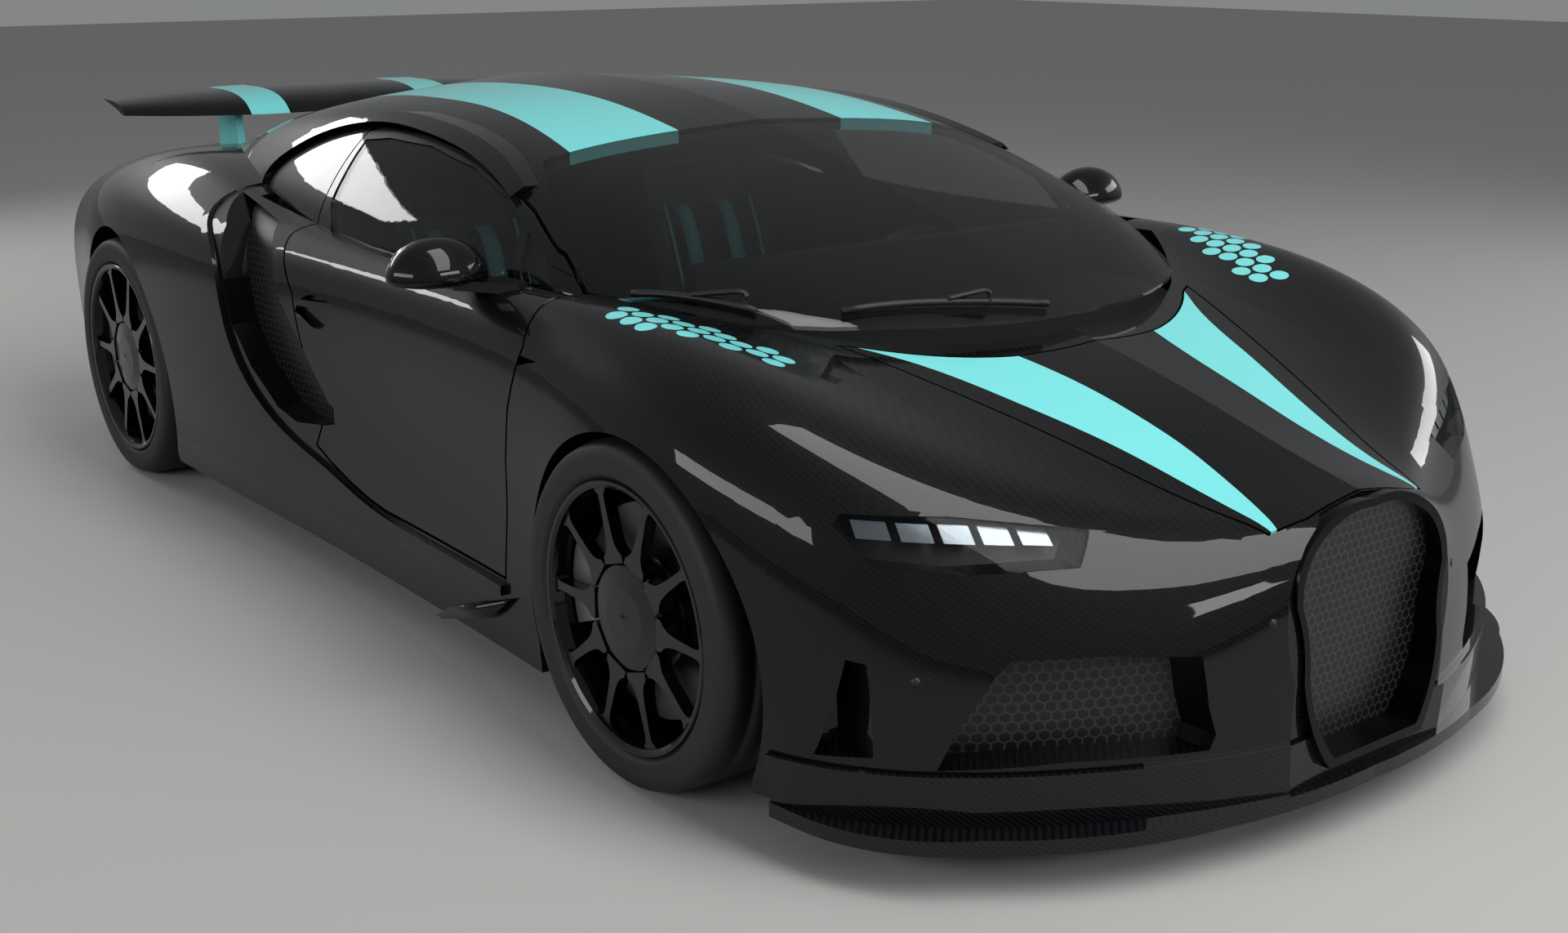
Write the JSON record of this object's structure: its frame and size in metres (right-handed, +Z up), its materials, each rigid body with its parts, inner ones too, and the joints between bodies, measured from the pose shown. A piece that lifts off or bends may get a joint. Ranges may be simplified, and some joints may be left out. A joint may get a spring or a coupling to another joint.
{
  "type": "two-seat mid-engined hypercar",
  "caption": "Low mid-engined two-seat hypercar with a tall arched grille, curved side intakes, a fixed rear wing, opening doors and bonnet, and wheels that roll and steer.",
  "frame": {"origin": "on the ground under the middle of the car's length, on its centre plane", "axes": "+X forward, +Y to the car's left, +Z up"},
  "size_m": [4.5452, 2.184, 1.1983],
  "materials": {
    "black_paint": "gloss black over carbon weave",
    "carbon": "lacquered carbon fibre",
    "satin_black": "satin black",
    "glass": "tinted, polished",
    "lamp_glass": "clear lens over dark housing",
    "tyre": "matte",
    "wheel_black": "gloss black",
    "iron": "ground ceramic-grey",
    "alloy": "satin cast",
    "steel": "satin",
    "leather": "quilted black with light blue edging",
    "mesh": "black mesh",
    "red_lens": "red lens",
    "chrome": "polished"
  },
  "bodies": {
    "car": {"centre_grille": "mesh", "cowl": "satin_black", "dashboard": "leather", "diffuser": "carbon", "engine": "alloy", "engine_cradle": "satin_black", "exhaust_tips": "alloy", "front_bumper": "black_paint", "front_frame": "satin_black", "front_valance": "carbon", "front_wings": "black_paint", "front_wishbones": "steel", "grille_surround": "chrome", "headlamp_housings": "satin_black", "headlamp_lenses": "lamp_glass", "headlamp_lights": "chrome", "intake_grilles": "mesh", "outlet_grilles": "mesh", "rear_deck": "black_paint", "rear_knuckles": "alloy", "rear_quarters": "black_paint", "rear_wing": "carbon", "rear_wishbones": "steel", "roof": "black_paint", "seats": "leather", "side_grilles": "mesh", "side_panels": "black_paint", "side_skirts": "carbon", "sills": "carbon", "splitter": "carbon", "sweep_trims": "black_paint", "tail_light": "red_lens", "tail_panel": "black_paint", "tub": "carbon", "windscreen": "glass", "wing_uprights": "black_paint"},
    "bonnet": {"bonnet": "black_paint"},
    "wheel_front_left": {"brake_disc_front_left": "iron", "rim_front_left": "wheel_black", "tyre_front_left": "tyre"},
    "wheel_front_right": {"brake_disc_front_right": "iron", "rim_front_right": "wheel_black", "tyre_front_right": "tyre"},
    "wheel_rear_left": {"brake_disc_rear_left": "iron", "rim_rear_left": "wheel_black", "tyre_rear_left": "tyre"},
    "wheel_rear_right": {"brake_disc_rear_right": "iron", "rim_rear_right": "wheel_black", "tyre_rear_right": "tyre"},
    "door_left": {"door_glass_left": "glass", "door_left": "black_paint", "mirror_left": "black_paint"},
    "door_right": {"door_glass_right": "glass", "door_right": "black_paint", "mirror_right": "black_paint"},
    "knuckle_left": {"front_knuckle_left": "alloy"},
    "knuckle_right": {"front_knuckle_right": "alloy"},
    "steering_wheel": {"steering_wheel": "leather"}
  },
  "joints": [
    {"name": "steer_left", "type": "hinge", "parent": "car", "child": "knuckle_left", "pos_m": [1.312, 0.8745, 0.34], "axis": [0, 0, 1], "range_deg": [-30, 30]},
    {"name": "steer_right", "type": "hinge", "parent": "car", "child": "knuckle_right", "pos_m": [1.312, -0.8745, 0.34], "axis": [0, 0, 1], "range_deg": [-30, 30]},
    {"name": "steering_wheel_turn", "type": "hinge", "parent": "car", "child": "steering_wheel", "pos_m": [0.522, 0.36, 0.69], "axis": [-0.9272, 0, 0.3746], "range_deg": [-420, 420]},
    {"name": "wheel_front_left_spin", "type": "hinge", "parent": "knuckle_left", "child": "wheel_front_left", "pos_m": [1.312, 0.8745, 0.34], "axis": [0, 1, 0], "continuous": true},
    {"name": "wheel_front_right_spin", "type": "hinge", "parent": "knuckle_right", "child": "wheel_front_right", "pos_m": [1.312, -0.8745, 0.34], "axis": [0, 1, 0], "continuous": true},
    {"name": "wheel_rear_left_spin", "type": "hinge", "parent": "car", "child": "wheel_rear_left", "pos_m": [-1.399, 0.833, 0.355], "axis": [0, 1, 0], "continuous": true},
    {"name": "wheel_rear_right_spin", "type": "hinge", "parent": "car", "child": "wheel_rear_right", "pos_m": [-1.399, -0.833, 0.355], "axis": [0, 1, 0], "continuous": true},
    {"name": "door_left_hinge", "type": "hinge", "parent": "car", "child": "door_left", "pos_m": [0.96, 0.96, 0.6], "axis": [0, 0, -1], "range_deg": [0, 60]},
    {"name": "door_right_hinge", "type": "hinge", "parent": "car", "child": "door_right", "pos_m": [0.96, -0.96, 0.6], "axis": [0, 0, 1], "range_deg": [0, 60]},
    {"name": "bonnet_hinge", "type": "hinge", "parent": "car", "child": "bonnet", "pos_m": [1.373, 0, 0.788], "axis": [0, -1, 0], "range_deg": [0, 50]}
  ],
  "couplings": [
    {"joint": "steer_right", "follows": "steer_left", "ratio": 1},
    {"joint": "steering_wheel_turn", "follows": "steer_left", "ratio": 14}
  ]
}
